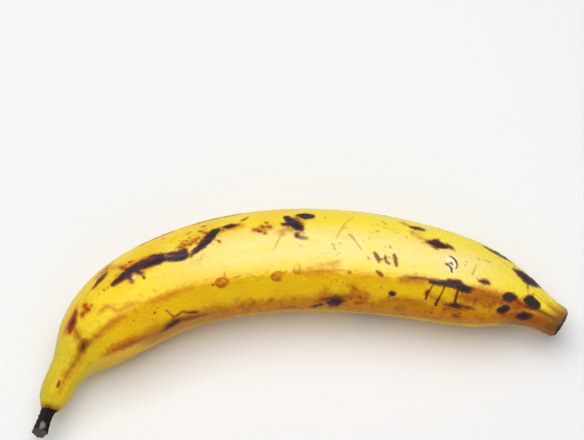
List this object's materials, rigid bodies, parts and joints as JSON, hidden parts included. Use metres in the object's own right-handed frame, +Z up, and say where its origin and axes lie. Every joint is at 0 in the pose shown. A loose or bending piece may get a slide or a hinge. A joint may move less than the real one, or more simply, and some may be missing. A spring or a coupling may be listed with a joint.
{
  "type": "plantain",
  "caption": "Ripe plantain finger lying on its side, with a ridged bent belly, a narrow neck, a dry black stem and a blunt blossom tip.",
  "frame": {"origin": "on the surface that the finger lies on, under the middle of its bounding box", "axes": "+Z up, +X along the finger from the stem towards the blossom tip, +Y towards the outer side of the bend"},
  "size_m": [0.2594, 0.1142, 0.0486],
  "materials": {
    "peel": "waxy ripe yellow peel with brown and black bruises, a black dry stem and a dark blossom scar"
  },
  "bodies": {
    "root": {"plantain": "peel"}
  },
  "joints": []
}
